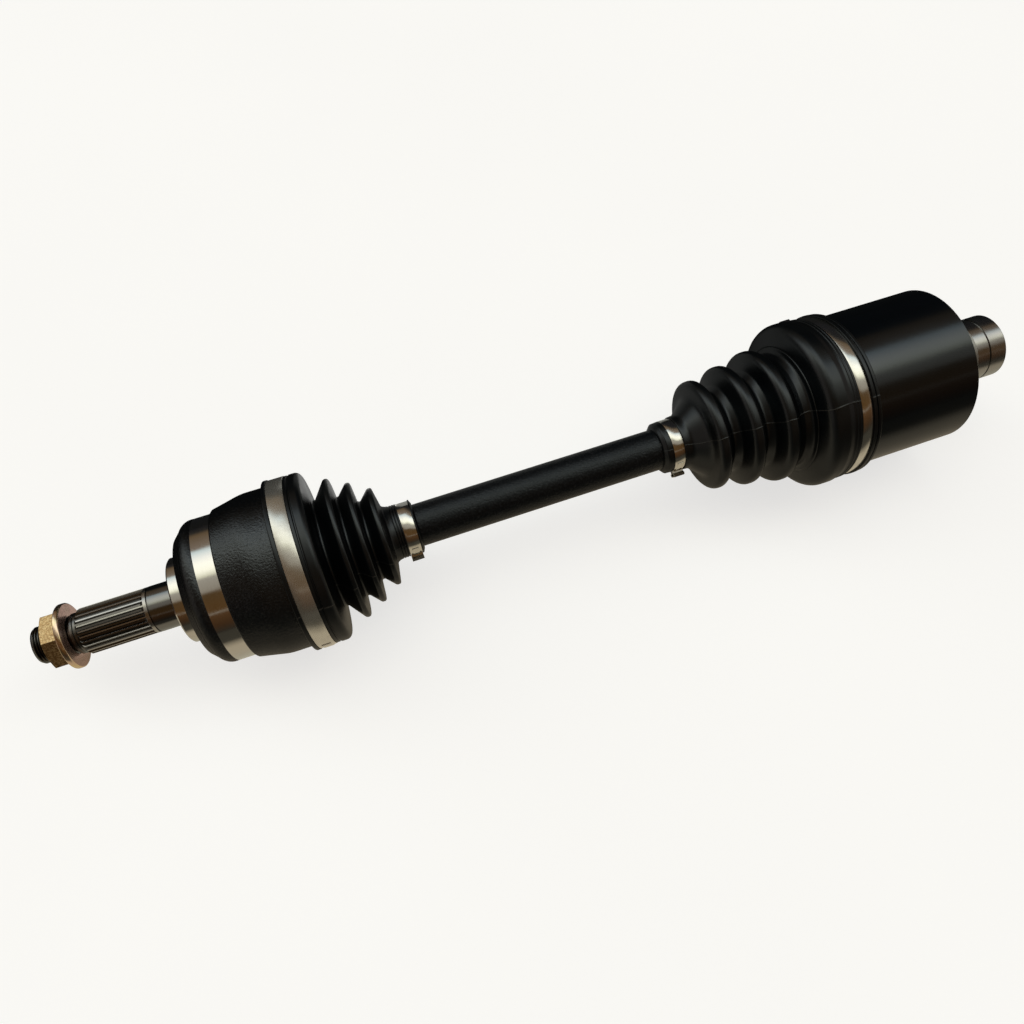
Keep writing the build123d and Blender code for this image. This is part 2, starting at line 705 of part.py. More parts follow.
def tongue_face(outer_r):
    """Section of the band's free end, which laps over the band beside the ear."""
    start = radians(6)
    end = radians(43)
    thickness = 0.45
    reach = 2 * outer_r
    sector = make_face(
        Polyline(
            (0, 0),
            (reach * sin(start), reach * cos(start)),
            (reach * sin(end), reach * cos(end)),
            close=True,
        )
    )
    return (Circle(outer_r + thickness) - Circle(outer_r - 0.1)) & sector


def clamp_band(span, inner_r, thickness, ear_angle, ear_height):
    """A stainless band over span, with a pinched ear at ear_angle."""
    start_x, end_x = span
    width = end_x - start_x
    inset = 0.22 * width
    outer_r = inner_r + thickness
    ring = Circle(outer_r) - Circle(inner_r)
    band_face = ring + ear_face(inner_r, outer_r, thickness, ear_height)
    band = extrude(Plane.YZ.offset(start_x) * band_face, width)
    tongue = extrude(Plane.YZ.offset(start_x + inset) * tongue_face(outer_r), width - 2 * inset)
    return Rot(ear_angle - 90, 0, 0) * (band + tongue)


def outer_boot_large_clamp():
    return clamp_band(OUTER_LARGE_CLAMP, OUTER_LARGE_CLAMP_R, CLAMP_THICKNESS, 228, 4.2)


def outer_boot_small_clamp():
    return clamp_band(OUTER_SMALL_CLAMP, OUTER_SMALL_CLAMP_R, SMALL_CLAMP_THICKNESS, 208, 3.8)


def inner_boot_small_clamp():
    return clamp_band(INNER_SMALL_CLAMP, INNER_SMALL_CLAMP_R, SMALL_CLAMP_THICKNESS, 206, 3.8)


def inner_boot_large_clamp():
    return clamp_band(INNER_LARGE_CLAMP, INNER_LARGE_CLAMP_R, CLAMP_THICKNESS, 12, 4.2)


def roller_set():
    """One node for each roller and one for each roller's needles."""
    nodes = {}
    rollers = around(TRUNNION_COUNT, FIRST_TRUNNION_ANGLE, roller())
    needle_sets = around(TRUNNION_COUNT, FIRST_TRUNNION_ANGLE, Compound(needles()))
    for number, (one_roller, one_set) in enumerate(zip(rollers, needle_sets), 1):
        nodes[f"roller_{number}"] = one_roller
        nodes[f"needles_{number}"] = one_set
    return nodes


def all_nodes():
    nodes = {
        "outer_housing": outer_housing(),
        "inner_race": inner_race(),
        "ball_cage": ball_cage(),
        "outer_balls": outer_balls(),
        "axle_bar": axle_bar(),
        "shaft_clips": shaft_clips(),
        "outer_boot": outer_boot(),
        "outer_boot_large_clamp": outer_boot_large_clamp(),
        "outer_boot_small_clamp": outer_boot_small_clamp(),
        "inner_boot": inner_boot(),
        "inner_boot_small_clamp": inner_boot_small_clamp(),
        "inner_boot_large_clamp": inner_boot_large_clamp(),
        "inner_housing": inner_housing(),
        "grease_plug": grease_plug(),
        "spider": spider(),
        "roller_washers": roller_washers(),
        "roller_clips": roller_clips(),
        "hub_washer": hub_washer(),
        "hub_nut": hub_nut(),
    }
    nodes.update(roller_set())
    return nodes


os.makedirs("parts", exist_ok=True)
for name, shape in all_nodes().items():
    export_step(shape, f"parts/{name}.step")
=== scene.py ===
import json
import math

import bpy
from mathutils import Matrix, Vector, noise


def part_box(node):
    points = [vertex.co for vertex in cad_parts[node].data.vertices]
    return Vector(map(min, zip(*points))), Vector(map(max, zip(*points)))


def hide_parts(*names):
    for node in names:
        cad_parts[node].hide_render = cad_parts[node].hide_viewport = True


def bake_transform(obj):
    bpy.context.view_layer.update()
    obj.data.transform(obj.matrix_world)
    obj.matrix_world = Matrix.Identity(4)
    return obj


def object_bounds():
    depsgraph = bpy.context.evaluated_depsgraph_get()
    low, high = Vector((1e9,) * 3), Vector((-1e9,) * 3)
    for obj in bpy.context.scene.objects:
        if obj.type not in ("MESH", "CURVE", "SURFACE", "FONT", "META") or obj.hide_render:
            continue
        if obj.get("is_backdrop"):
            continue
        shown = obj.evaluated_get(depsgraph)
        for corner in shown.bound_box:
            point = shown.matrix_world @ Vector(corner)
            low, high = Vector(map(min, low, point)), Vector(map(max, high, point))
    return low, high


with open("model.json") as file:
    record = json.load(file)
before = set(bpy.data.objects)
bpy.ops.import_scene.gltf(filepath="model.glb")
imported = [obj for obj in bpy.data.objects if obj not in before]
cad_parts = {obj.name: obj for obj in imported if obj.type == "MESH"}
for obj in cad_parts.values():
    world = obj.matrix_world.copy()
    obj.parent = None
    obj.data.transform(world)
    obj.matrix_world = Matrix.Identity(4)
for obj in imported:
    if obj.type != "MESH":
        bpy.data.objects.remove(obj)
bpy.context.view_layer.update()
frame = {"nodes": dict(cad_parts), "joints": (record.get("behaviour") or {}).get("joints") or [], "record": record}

MM = 0.001
BEND_X = {joint["name"]: joint["pos_m"][0] / MM for joint in frame["joints"] if "pos_m" in joint}


def span(node):
    """Where a CAD node starts and ends along the axle, in mm."""
    low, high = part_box(node)
    return low.x / MM, high.x / MM


def height(node):
    """How far a CAD node stands out above the axle, in mm."""
    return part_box(node)[1].z / MM


# ---------------------------------------------------------------- rubber boots

AROUND = 168  # steps round a boot
ARC_STEP = 14  # degrees between the points of a rounded corner
FILLET_SHARE = 0.49  # how much of an outline's side one fillet may take
LONGEST_STEP = 1.3  # mm at most between rings along a boot
OUTER_SEAM = 147.0  # where a boot's first seam runs, in degrees from +Y towards +Z
INNER_SEAM = 125.0
SEAM_STEP = math.radians(0.4)
SEAM_HALF_WIDTH = 0.6 * SEAM_STEP
SEAM_HEIGHT = 0.36  # mm
SEAM_HEIGHT_CHANGE = 0.22
SEAM_WANDER = 1.6  # mm to each side
BROAD_WAVES = 0.14, 0.05  # how high the rubber's waves are in mm, and how many there are to a mm
FINE_WAVES = 0.05, 0.21
BAR_R = 13.2
SLACK = 0.1  # mm between a boot and the metal under it
BAND_ROOM = 0.15  # mm beside a wide clamp in its groove
TIE_ROOM = 0.1  # the same beside a narrow clamp
BAND_SINK = 1.0  # mm from a wide clamp's outside down to the bottom of its groove


def rounded(corners):
    """Points along an outline of (x, radius, fillet) corners in mm, each corner rounded by its fillet."""
    points = [Vector(corners[0][:2])]
    for before, corner, after in zip(corners, corners[1:], corners[2:]):
        here = Vector(corner[:2])
        back = Vector(before[:2]) - here
        ahead = Vector(after[:2]) - here
        half_angle = back.angle(ahead) / 2
        reach = corner[2] / math.tan(half_angle)
        reach = min(reach, FILLET_SHARE * back.length, FILLET_SHARE * ahead.length)
        radius = reach * math.tan(half_angle)
        middle = (back.normalized() + ahead.normalized()).normalized()
        centre = here + middle * (radius / math.sin(half_angle))
        start = here + back.normalized() * reach - centre
        end = here + ahead.normalized() * reach - centre
        turn = math.pi - 2 * half_angle
        steps = max(2, math.ceil(math.degrees(turn) / ARC_STEP))
        for step in range(steps + 1):
            share = step / steps
            weight = math.sin((1 - share) * turn), math.sin(share * turn)
            points.append(centre + (start * weight[0] + end * weight[1]) / math.sin(turn))
    points.append(Vector(corners[-1][:2]))
    return divided(points)


def divided(points):
    """The same outline with no step longer than LONGEST_STEP."""
    fine = [points[0]]
    for start, end in zip(points, points[1:]):
        steps = max(1, math.ceil((end - start).length / LONGEST_STEP))
        fine += [start.lerp(end, step / steps) for step in range(1, steps + 1)]
    return fine


def cut(points, x):
    """The outline's part before x and its part beyond. Both keep the point where they meet."""
    meeting = next(number for number, point in enumerate(points) if point.x >= x)
    return points[:meeting + 1], points[meeting:]


def angles_round(seams):
    """Even steps round the axle, with fine ones beside each mould seam."""
    even = [2 * math.pi * step / AROUND for step in range(AROUND)]
    beside = [seam + side * SEAM_STEP for seam in seams for side in (-2, -1, 0, 1, 2)]
    kept = [angle for angle in even if min(abs(angle - other) for other in beside) > SEAM_STEP]
    return sorted(kept + beside)


def seam_height(angle, seams, x):
    """How far the mould's parting line stands out of the rubber, in mm. It varies along the boot."""
    nearest = min(abs(angle - seam) for seam in seams)
    if nearest > SEAM_HALF_WIDTH:
        return 0.0
    return SEAM_HEIGHT + SEAM_HEIGHT_CHANGE * noise.noise(Vector((x * 0.35, 4.0, 0.0)))


def seam_wander(x, radius):
    """How far a ring is turned, in radians, so that the seams don't run quite straight."""
    return SEAM_WANDER / radius * noise.noise(Vector((x / 11, 0.0, radius / 23)))


def unevenness(place):
    """How far moulded rubber stands out or in at a place, in mm."""
    return sum(size * noise.noise(place * per_mm) for size, per_mm in (BROAD_WAVES, FINE_WAVES))


def ring_faces(rings, count):
    """Four-sided faces between each ring of count vertices and the next. The last ring joins the first."""
    faces = []
    for ring in range(rings):
        this = ring * count
        following = (ring + 1) % rings * count
        for step in range(count):
            beyond = (step + 1) % count
            faces.append((this + step, this + beyond, following + beyond, following + step))
    return faces


def boot_mesh(name, outside, inside, seam):
    """A closed rubber sleeve turned about the axle. Its two mould seams are marked for the material."""
    outline = outside + inside[::-1]
    seams = (math.radians(seam), math.radians(seam) + math.pi)
    angles = angles_round(seams)
    vertices = []
    seam_shares = []
    for number, point in enumerate(outline):
        wander = seam_wander(point.x, point.y)
        for angle in angles:
            radius = point.y
            proud = 0.0
            if number < len(outside):
                place = Vector((point.x, radius * math.cos(angle), radius * math.sin(angle)))
                proud = seam_height(angle, seams, point.x)
                radius += unevenness(place) + proud
            turned = angle + wander
            vertices.append((point.x * MM, radius * MM * math.cos(turned), radius * MM * math.sin(turned)))
            seam_shares.append(1.0 if proud > 0 else 0.0)
    mesh = bpy.data.meshes.new(name)
    mesh.from_pydata(vertices, [], ring_faces(len(outline), len(angles)))
    mesh.validate()
    mesh.polygons.foreach_set("use_smooth", [True] * len(mesh.polygons))
    mesh.attributes.new("seam", "FLOAT", "POINT").data.foreach_set("value", seam_shares)
    piece = bpy.data.objects.new(name, mesh)
    bpy.context.scene.collection.objects.link(piece)
    return piece


def clamp_groove(clamp, room, groove_r, before, after):
    """Corners of a clamp's groove. before and after are the rubber's radius and fillet at its two sides."""
    start, end = span(clamp)
    return [
        (start - room, *before), (start - room, groove_r, room),
        (end + room, groove_r, room), (end + room, *after),
    ]


def rib(x, radius, rise):
    """Corners of a narrow flat rib on a collar."""
    return [
        (x, radius, 0.2), (x + 0.3, radius + rise, 0.15),
        (x + 0.8, radius + rise, 0.15), (x + 1.1, radius, 0.2),
    ]


def notch(x, radius, depth):
    """Corners of a fine V-shaped groove round a neck."""
    return [(x, radius, 0.2), (x + 0.3, radius - depth, 0.15), (x + 0.6, radius, 0.2)]


def bend(piece):
    """Bakes a boot's placement into its mesh."""
    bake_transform(piece)


OUTER_CRESTS = ((99.4, 43.4), (110.9, 37.4), (122.2, 30.4))  # (x, radius) in mm
OUTER_VALLEYS = ((101.7, 29.3), (113.3, 22.8), (125.6, 17.8))
OUTER_NOTCHES = (129.4, 131.0, 132.6)
BELL_MOUTH_X = 79.0
OUTER_NECK_R = 16.6
OUTER_LIP_R = 16.9


def outer_boot_outside():
    """Corners of the outer boot's outside, from its lip on the bell to its lip on the bar."""
    start, end = span("outer_boot")
    band_r = height("outer_boot_large_clamp")
    rim_r = band_r + 0.5
    collar_r = band_r - 0.1
    corners = [
        (start, height("outer_housing") + SLACK, 0.3), (start + 0.3, rim_r, 0.7),
        *clamp_groove(
            "outer_boot_large_clamp", BAND_ROOM, band_r - BAND_SINK, (rim_r, 0.3), (collar_r - 0.2, 0.3)
        ),
        (78.6, collar_r - 0.2, 0.25), (79.0, collar_r - 0.8, 0.2), (79.6, collar_r - 0.8, 0.2),
        (80.0, collar_r, 0.4), (86.0, collar_r, 3.2), (88.2, 31.0, 1.4),
    ]
    for (crest_x, crest_r), valley in zip(OUTER_CRESTS, OUTER_VALLEYS):
        corners += [(crest_x - 1.5, crest_r + 0.2, 1.9), (crest_x + 1.1, crest_r + 0.2, 1.3), (*valley, 1.4)]
    corners += [(127.6, OUTER_LIP_R, 1.5)]
    for x in OUTER_NOTCHES:
        corners += notch(x, OUTER_NECK_R, 0.4)
    return corners + [
        *clamp_groove(
            "outer_boot_small_clamp", TIE_ROOM, BAR_R + 2.3, (OUTER_NECK_R, 0.3), (OUTER_LIP_R, 0.3)
        ),
        (end - 1.2, OUTER_LIP_R, 0.5), (end, BAR_R + 1.2, 0.5), (end, BAR_R + SLACK, 0.3),
    ]


def outer_boot_inside():
    """Corners of the outer boot's inside, in the same order."""
    start, end = span("outer_boot")
    bell_r = height("outer_housing")
    corners = [
        (start, bell_r + SLACK, 0.3), (BELL_MOUTH_X, bell_r + SLACK, 0.5),
        (82.6, bell_r - 0.6, 2.0), (85.9, 28.9, 0.8), (88.4, 29.3, 0.8),
    ]
    for (crest_x, crest_r), (valley_x, valley_r) in zip(OUTER_CRESTS, OUTER_VALLEYS):
        corners += [
            (crest_x - 0.9, crest_r - 2.7, 0.4),
            (valley_x - 1.7, valley_r - 1.9, 0.5), (valley_x + 0.6, valley_r - 1.9, 0.5),
        ]
    return corners + [(OUTER_NOTCHES[-1], BAR_R + SLACK, 1.0), (end, BAR_R + SLACK, 0.3)]


def outer_boot():
    """Thin steep pleats that lean towards the bar, and a wide collar on the bell."""
    outside = rounded(outer_boot_outside())
    inside = rounded(outer_boot_inside())
    piece = boot_mesh("rubber_boot_outer", outside, inside, OUTER_SEAM)
    bend(piece)
    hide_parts("outer_boot")
    return piece


INNER_SPLIT_X = 391.5  # where its two pieces meet, in the last valley
INNER_COLLAR_X = 405.0  # where its wide collar starts


def inner_boot_outside():
    """Corners of the inner boot's outside, from its lip on the bar to its lip on the can."""
    start, end = span("inner_boot")
    band_r = height("inner_boot_large_clamp")
    collar_r = band_r + 0.3
    lip_r = 16.5
    return [
        (start, BAR_R + SLACK, 0.3), (start + 0.6, BAR_R + 1.6, 0.5), (start + 2.4, lip_r, 0.8),
        (303.4, lip_r, 0.2), (303.8, lip_r - 0.5, 0.2), (304.4, lip_r, 0.2),
        *clamp_groove("inner_boot_small_clamp", TIE_ROOM, BAR_R + 2.75, (16.8, 0.3), (17.4, 0.4)),
        (319.6, 17.8, 4.0), (328.8, 26.0, 6.0),
        # three pleats, each with the valley after it
        (330.0, 35.8, 3.6), (336.6, 35.8, 3.4), (340.2, 28.2, 2.4), (343.6, 25.6, 2.2), (348.0, 28.4, 2.6),
        (351.2, 39.4, 3.6), (357.6, 39.4, 3.6), (361.2, 31.4, 2.4), (364.4, 29.2, 2.2), (368.6, 32.0, 2.6),
        (371.8, 43.4, 3.8), (378.2, 43.4, 3.8), (382.0, 37.6, 2.6), (386.0, 36.9, 2.0), (390.6, 38.0, 3.0),
        # the shoulder and the collar on the can
        (394.6, 54.3, 8.0), (INNER_COLLAR_X, 54.3, 3.0), (408.6, collar_r, 2.0),
        *rib(410.2, collar_r, 0.45),
        *rib(412.3, collar_r, 0.4),
        *clamp_groove(
            "inner_boot_large_clamp", BAND_ROOM, band_r - BAND_SINK, (collar_r, 0.2), (collar_r + 0.7, 0.3)
        ),
        (423.4, collar_r + 0.7, 0.25), (423.8, collar_r - 0.4, 0.2), (424.3, collar_r - 0.4, 0.2),
        (424.6, collar_r + 0.4, 0.3), (end, collar_r + 0.4, 0.9), (end, height("inner_housing") + SLACK, 0.3),
    ]


def inner_boot_inside():
    """Corners of the inner boot's inside, in the same order."""
    start, end = span("inner_boot")
    can_r = height("inner_housing") + SLACK
    return [
        (start, BAR_R + SLACK, 0.3), (319.5, BAR_R + SLACK, 2.0), (329.4, 24.6, 3.0),
        (331.9, 33.4, 2.0), (335.0, 33.4, 2.0), (338.6, 26.6, 2.0), (343.6, 23.4, 2.0), (349.6, 26.8, 2.0),
        (352.9, 37.0, 2.0), (355.9, 37.0, 2.0), (359.6, 29.8, 2.0), (364.4, 27.0, 2.0), (370.2, 30.4, 2.0),
        (373.5, 41.0, 2.0), (376.5, 41.0, 2.0), (380.4, 36.1, 2.0), (386.0, 35.8, 2.0), (392.2, 36.9, 2.0),
        (396.0, 52.0, 5.0), (403.0, 52.0, 2.0), (INNER_COLLAR_X, can_r, 0.5), (end, can_r, 0.3),
    ]


def inner_boot():
    """Full round pleats that grow towards the can. It is made as two pieces that meet in the last valley."""
    small_outside, large_outside = cut(rounded(inner_boot_outside()), INNER_SPLIT_X)
    small_inside, large_inside = cut(rounded(inner_boot_inside()), INNER_SPLIT_X)
    small = boot_mesh("rubber_boot_inner_pleats", small_outside, small_inside, INNER_SEAM)
    bend(small)
    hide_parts("inner_boot")
    large = boot_mesh("rubber_boot_inner_collar", large_outside, large_inside, INNER_SEAM)
    bend(large)
    return small, large


# ---------------------------------------------------------------- node helpers


class Graph:
    """A node tree and short ways to add to it."""

    def __init__(self, block):
        self.block = block
        block.use_nodes = True
        self.tree = block.node_tree

    def add(self, kind, inputs=None, **settings):
        """Adds a node. inputs maps a socket's name or number to a value or to another node's output."""
        node = self.tree.nodes.new(kind)
        for setting, value in settings.items():
            setattr(node, setting, value)
        for socket, value in (inputs or {}).items():
            self.set(node.inputs[socket], value)
        return node

    def set(self, socket, value):
        """Links another node's output to a socket, or gives it a fixed value."""
        if isinstance(value, bpy.types.NodeSocket):
            self.tree.links.new(value, socket)
        else:
            socket.default_value = value

    def math(self, operation, *values):
        return self.add("ShaderNodeMath", dict(enumerate(values)), operation=operation).outputs[0]

    def both(self, first, second):
        """1 where both are 1."""
        return self.math("MULTIPLY", first, second)

    def either(self, first, second):
        """1 where at least one of the two is 1."""
        return self.math("MAXIMUM", first, second)

    def part_of(self, value, share):
        """value made smaller by a share."""
        return self.math("MULTIPLY", value, share)

    def below(self, value, limit):
        """1 where value is less than limit."""
        return self.math("LESS_THAN", value, limit)

    def above(self, value, limit):
        """1 where value is more than limit."""
        return self.math("GREATER_THAN", value, limit)

    def ramp(self, value, stops):
        """A colour for value, read between stops of (value, colour). Values lie between 0 and 1."""
        node = self.add("ShaderNodeValToRGB", {0: value})
        band = node.color_ramp
        while len(band.elements) < len(stops):
            band.elements.new(1.0)
        for element, (position, colour) in zip(band.elements, stops):
            element.position = position
            element.color = (*colour, 1.0)
        return node.outputs[0]

    def spread(self, value, low, high, to_low, to_high):
        """Carries value from low..high to to_low..to_high, and no further."""
        return self.add("ShaderNodeMapRange", {0: value, 1: low, 2: high, 3: to_low, 4: to_high}).outputs[0]

    def fade_in(self, value, low, high):
        """0 up to low, rising to 1 at high."""
        return self.spread(value, low, high, 0.0, 1.0)

    def fade_out(self, value, low, high):
        """1 up to low, falling to 0 at high."""
        return self.spread(value, low, high, 1.0, 0.0)

    def colours(self, share, first, second):
        """Mixes two colours."""
        return self.add(
            "ShaderNodeMix", {0: share, 6: rgba(first), 7: rgba(second)}, data_type="RGBA"
        ).outputs[2]


class Material(Graph):
    """A node material with one Principled surface, built up node by node."""

    def __init__(self, name):
        super().__init__(bpy.data.materials.new(name))
        self.surface = next(node for node in self.tree.nodes if node.type == "BSDF_PRINCIPLED")
        self.place = self.add("ShaderNodeTexCoord").outputs["Object"]

    def finish(self, **values):
        """Sets the surface's sockets. Underscores in the names stand for spaces."""
        for socket, value in values.items():
            self.set(self.surface.inputs[socket.replace("_", " ")], value)
        return self.block

    def darken_edges(self, share):
        """Takes light away where the surface is seen at a low angle, as a rough black finish does."""
        facing = self.add("ShaderNodeLayerWeight", {"Blend": 0.5}).outputs["Facing"]
        black = self.add("ShaderNodeBsdfDiffuse", {"Color": (0.002, 0.002, 0.002, 1.0)}).outputs[0]
        loss = self.math("MULTIPLY", self.fade_in(facing, 0.15, 0.45), share)
        self.show(self.mixed(loss, self.surface.outputs[0], black))

    def mixed(self, share, first, second):
        """Mixes two shaders."""
        return self.add("ShaderNodeMixShader", {0: share, 1: first, 2: second}).outputs[0]

    def show(self, shader):
        """Makes shader the material's surface."""
        output = next(node for node in self.tree.nodes if node.type == "OUTPUT_MATERIAL")
        self.set(output.inputs["Surface"], shader)

    def scaled(self, x, y, z):
        """The place in the part's frame, stretched."""
        return self.add("ShaderNodeMapping", {"Vector": self.place, "Scale": (x, y, z)}).outputs[0]

    def noise(self, size_mm, detail, rough, place=None):
        """Cloudy noise whose blotches are about size_mm across."""
        return self.add(
            "ShaderNodeTexNoise",
            {
                "Vector": place or self.place,
                "Scale": 1 / (size_mm * MM),
                "Detail": detail,
                "Roughness": rough,
            },
        ).outputs["Fac"]

    def blend(self, share, first, second):
        """Mixes two numbers."""
        return self.add("ShaderNodeMix", {0: share, 2: first, 3: second}, data_type="FLOAT").outputs[0]

    def normals(self, share, first, second):
        """Mixes two normals."""
        return self.add("ShaderNodeMix", {0: share, 4: first, 5: second}, data_type="VECTOR").outputs[1]

    def bump(self, relief, depth_mm, strength):
        """A normal for relief, which stands depth_mm high."""
        inputs = {"Height": relief, "Distance": depth_mm * MM, "Strength": strength}
        return self.add("ShaderNodeBump", inputs).outputs[0]

    def edges(self, radius_mm):
        """1 on sharp edges, falling to 0 about radius_mm away."""
        soft = self.add("ShaderNodeBevel", {"Radius": radius_mm * MM}, samples=6).outputs[0]
        flat = self.add("ShaderNodeNewGeometry").outputs["Normal"]
        dot = self.add("ShaderNodeVectorMath", {0: soft, 1: flat}, operation="DOT_PRODUCT")
        return self.fade_in(dot.outputs["Value"], 0.99, 0.88)

    def axial(self):
        """The x coordinate and the distance from the axle, in mm."""
        parts = self.add("ShaderNodeSeparateXYZ", {0: self.place}).outputs
        squares = [self.math("MULTIPLY", part, part) for part in (parts[1], parts[2])]
        across = self.math("SQRT", self.math("ADD", *squares))
        return self.math("DIVIDE", parts[0], MM), self.math("DIVIDE", across, MM)

    def within(self, value, low, high):
        """1 where value lies between low and high."""
        return self.both(self.above(value, low), self.below(value, high))

    def turning_lines(self, pitch_mm):
        """Fine lines that run round the axle, as a lathe or a grinder leaves."""
        per_metre = 1 / (pitch_mm * MM)
        return self.noise(1 / MM, 3.0, 0.6, place=self.scaled(per_metre, 14, 14))

    def round_grain(self):
        """A tangent that runs round the axle, for a stretched highlight."""
        return self.add("ShaderNodeTangent", direction_type="RADIAL", axis="X").outputs[0]


def rgba(colour):
    """A fixed colour with its alpha, or another node's output as it is."""
    return colour if isinstance(colour, bpy.types.NodeSocket) else (*colour, 1.0)


# ---------------------------------------------------------------- finishes

PAINT_BLACK = (0.0010, 0.0026, 0.0044)
PAINT_GRAIN = (0.0090, 0.0110, 0.0135)
PAINT_WORN = (0.045, 0.044, 0.043)
CAN_DUST = (0.030, 0.030, 0.031)
CAN_WORN = (0.09, 0.088, 0.085)
BRIGHT_STEEL = (0.56, 0.545, 0.51)
GROUND_STEEL = (0.19, 0.19, 0.185)
# painted shade in the splines' roots, and their worn crests lightened as a painted highlight
SPLINE_ROOT_SHADE = (0.105, 0.100, 0.093)
SPLINE_CREST_WEAR_AND_HIGHLIGHT = (0.36, 0.35, 0.33)
# the thread's dark colour, which turns lighter towards its crests
DARK_THREAD = (0.055, 0.052, 0.048)
STUB_STAIN = (0.22, 0.19, 0.15)
COLLAR_STEEL = (0.32, 0.315, 0.305)
COLLAR_STAIN = (0.20, 0.19, 0.175)
# a paler, rougher band round the collar next to the can's end
COLLAR_PALE_BAND = (0.33, 0.33, 0.315)
RUBBER_BLACK = (0.0009, 0.0022, 0.0036)
RUBBER_GREY = (0.0024, 0.0038, 0.0050)
RUBBER_SPECK = (0.10, 0.098, 0.09)
# a painted highlight along the boots' mould seams
SEAM_HIGHLIGHT = (0.075, 0.074, 0.070)
COOL = (0.88, 0.95, 1.0, 1.0)  # the tint of the black finishes' highlights

PLAIN_SHEEN = 0.5  # the Principled shader's standard
BAR_SHEEN = 0.30
RUBBER_SHEEN = 0.48
BELL_SHEEN = 0.62
CAN_SHEEN = 0.68

# Where the finishes change. All of it is in mm, along the axle for x and away from it for r.
THREAD_END_X = -57.05
THREAD_CREST_R = 10.3, 11.0
SPLINE_END_X = -15.82
SPLINE_CREST_R = 13.45, 13.66
JOURNAL_END_X = 0.02
SEAT_X = -15.9, 8.78
SEAT_R = 26.0
BAND_X = 21.05, 32.12
BAND_R = 43.1
HOLLOW_X = 18.5, BELL_MOUTH_X
HOLLOW_R = 44.8  # from the ball joint's centre
BAR_BARE_END = 20  # from each joint's centre towards the bar's middle
CAN_MOUTH_X = 405.3
CAN_HOLLOW_X = 405.2, 496.0
CAN_HOLLOW_R = 49.2
CAN_END_X = 497.75
CAN_END_EDGE = 0.9
CAN_END_R = 50.0
RING_END_X = 523.0


def powder_grain(mat, gloss):
    """The sandy rough black paint: colour, roughness and normal. gloss is the least roughness."""
    fine = mat.noise(1.1, 2.0, 0.65)
    coarse = mat.noise(3.0, 2.0, 0.5)
    grain = mat.math("ADD", fine, mat.part_of(coarse, 0.12))
    patches = mat.noise(38, 3.0, 0.55)
    colour = mat.colours(mat.fade_in(grain, 0.55, 0.70), PAINT_BLACK, PAINT_GRAIN)
    colour = mat.colours(mat.part_of(mat.edges(0.5), 0.6), colour, PAINT_WORN)
    roughness = mat.spread(patches, 0.35, 0.65, gloss, gloss + 0.06)
    return colour, roughness, mat.bump(grain, 0.34, 0.9)


def smooth_paint(mat):
    """The can's satin paint, with orange peel and a little dust: colour, roughness and normal."""
    peel = mat.noise(2.6, 2.0, 0.5)
    dust = mat.fade_in(mat.noise(0.5, 2.0, 0.6), 0.70, 0.80)
    patches = mat.noise(55, 3.0, 0.6)
    colour = mat.colours(mat.part_of(dust, 0.25), PAINT_BLACK, CAN_DUST)
    colour = mat.colours(mat.part_of(mat.edges(0.6), 0.8), colour, CAN_WORN)
    roughness = mat.spread(patches, 0.35, 0.65, 0.17, 0.21)
    return colour, roughness, mat.bump(peel, 0.05, 0.35)


def steel_finish(mat, pitch_mm):
    """Roughness and normal of turned or ground steel."""
    lines = mat.turning_lines(pitch_mm)
    smears = mat.noise(9, 4.0, 0.6)
    polish = mat.spread(lines, 0.3, 0.7, 0.07, 0.14)
    roughness = mat.math("ADD", polish, mat.spread(smears, 0.4, 0.75, 0.0, 0.05))
    return roughness, mat.bump(lines, 0.012, 0.5)


def paint_over_steel(mat, bare, paint, steel, sheen, edge_loss):
    """Finishes a painted material with steel where bare is 1. Both are (colour, roughness, normal)."""
    mat.darken_edges(mat.blend(bare, edge_loss, 0.0))
    return mat.finish(
        Base_Color=mat.colours(bare, paint[0], steel[0]),
        Metallic=mat.blend(bare, 0.0, 1.0),
        Roughness=mat.blend(bare, paint[1], steel[1]),
        Specular_IOR_Level=mat.blend(bare, sheen, PLAIN_SHEEN),
        Specular_Tint=COOL,
        Normal=mat.normals(bare, paint[2], steel[2]),
    )


